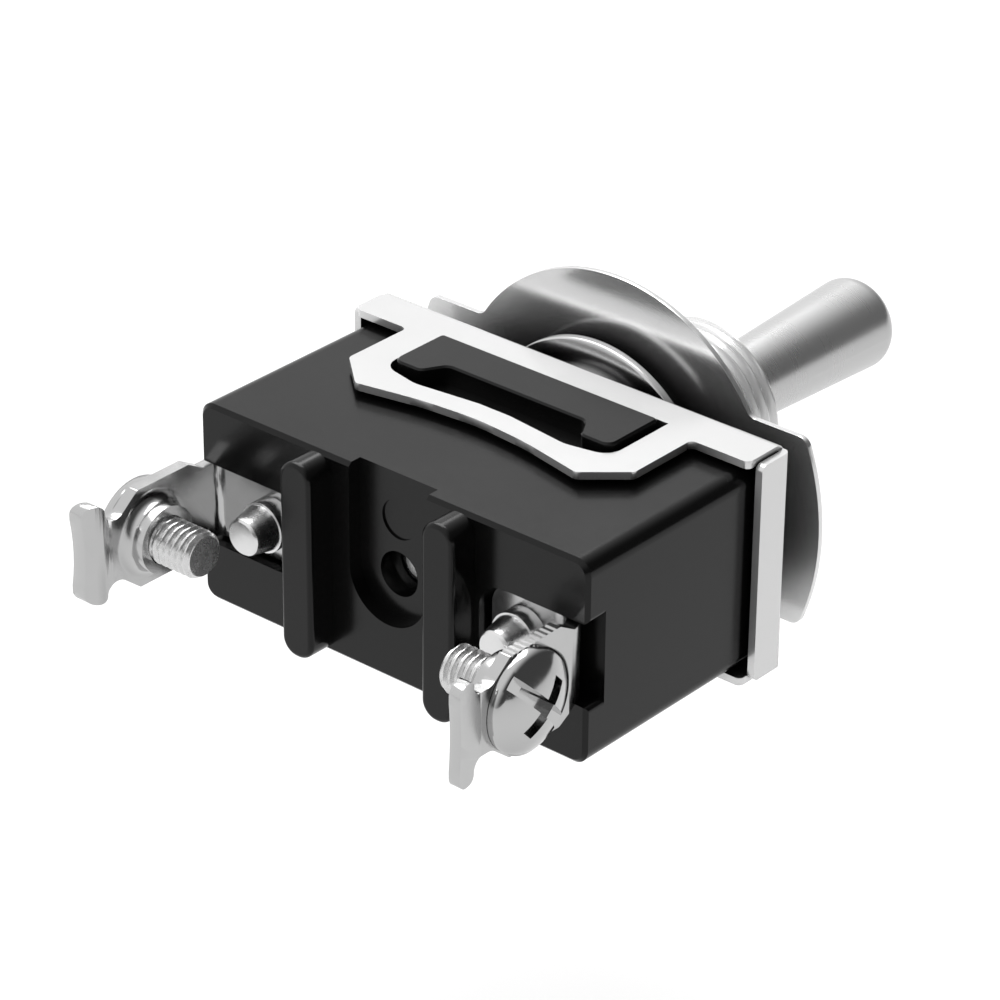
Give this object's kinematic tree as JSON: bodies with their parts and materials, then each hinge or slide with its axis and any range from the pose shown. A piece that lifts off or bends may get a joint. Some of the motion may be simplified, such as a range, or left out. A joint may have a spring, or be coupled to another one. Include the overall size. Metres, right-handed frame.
{
  "type": "panel toggle switch",
  "caption": "Bat-lever toggle switch with a threaded bushing, an indicator plate, a black case under a folded bracket, and screw terminals with rivets.",
  "frame": {"origin": "on the bushing's axis, in the indicator plate's front face, where the panel rests", "axes": "+Y along the bushing towards the lever, X along the case from terminal to terminal, +Z across the case towards its recessed side"},
  "size_m": [0.033, 0.0576, 0.0244],
  "materials": {
    "phenolic": "moulded black phenolic, satin with a faint sheen",
    "bracket_steel": "nickel-plated sheet steel, fine rolled grain",
    "bushing_nickel": "nickel-plated, turned and threaded",
    "plate_nickel": "nickel-plated sheet, bright edge",
    "lever_nickel": "satin nickel plate over a turned bat",
    "terminal_nickel": "nickel-plated pressed strip",
    "screw_nickel": "nickel-plated steel, bright head",
    "rivet_nickel": "plated rivet wire, dull",
    "sheet_fibre": "red vulcanised fibre",
    "plunger_plastic": "natural polyamide",
    "spring_steel": "drawn spring wire",
    "copper_alloy": "stamped brass",
    "contact_silver": "silver alloy"
  },
  "bodies": {
    "body": {"case": "phenolic", "bracket": "bracket_steel", "insulating_sheet": "sheet_fibre", "bushing": "bushing_nickel", "lock_ring": "plate_nickel", "indicator_plate": "plate_nickel", "terminal_left": "terminal_nickel", "terminal_right": "terminal_nickel", "rivet_left": "rivet_nickel", "rivet_right": "rivet_nickel", "centre_stud": "rivet_nickel", "fulcrum": "copper_alloy", "contact_plate": "copper_alloy", "fixed_contact": "contact_silver"},
    "lever": {"lever": "lever_nickel", "lever_pin": "lever_nickel"},
    "plunger": {"plunger": "plunger_plastic", "plunger_spring": "spring_steel"},
    "rocker": {"rocker": "copper_alloy", "rocker_contact": "contact_silver"},
    "screw_left": {"terminal_screw_left": "screw_nickel"},
    "screw_right": {"terminal_screw_right": "screw_nickel"}
  },
  "joints": [
    {"name": "lever_throw", "type": "hinge", "parent": "body", "child": "lever", "pos_m": [0, 0.0032, 0], "axis": [0, 0, 1], "range_deg": [-13, 13]},
    {"name": "rocker_tilt", "type": "hinge", "parent": "body", "child": "rocker", "pos_m": [0, -0.0138, 0], "axis": [0, 0, 1], "range_deg": [-8.46, 8.46]},
    {"name": "plunger_slide", "type": "slide", "parent": "lever", "child": "plunger", "axis": [0, 1, 0], "range_m": [0, 0.0008], "stiffness_N_per_m": 400, "springref_m": -0.002, "deforming": ["plunger_spring"]},
    {"name": "screw_right_out", "type": "slide", "parent": "body", "child": "screw_right", "axis": [1, 0, 0], "range_m": [0, 0.0025]},
    {"name": "screw_left_out", "type": "slide", "parent": "body", "child": "screw_left", "axis": [-1, 0, 0], "range_m": [0, 0.0025]}
  ],
  "couplings": [
    {"joint": "rocker_tilt", "follows": "lever_throw", "ratio": -0.65}
  ]
}
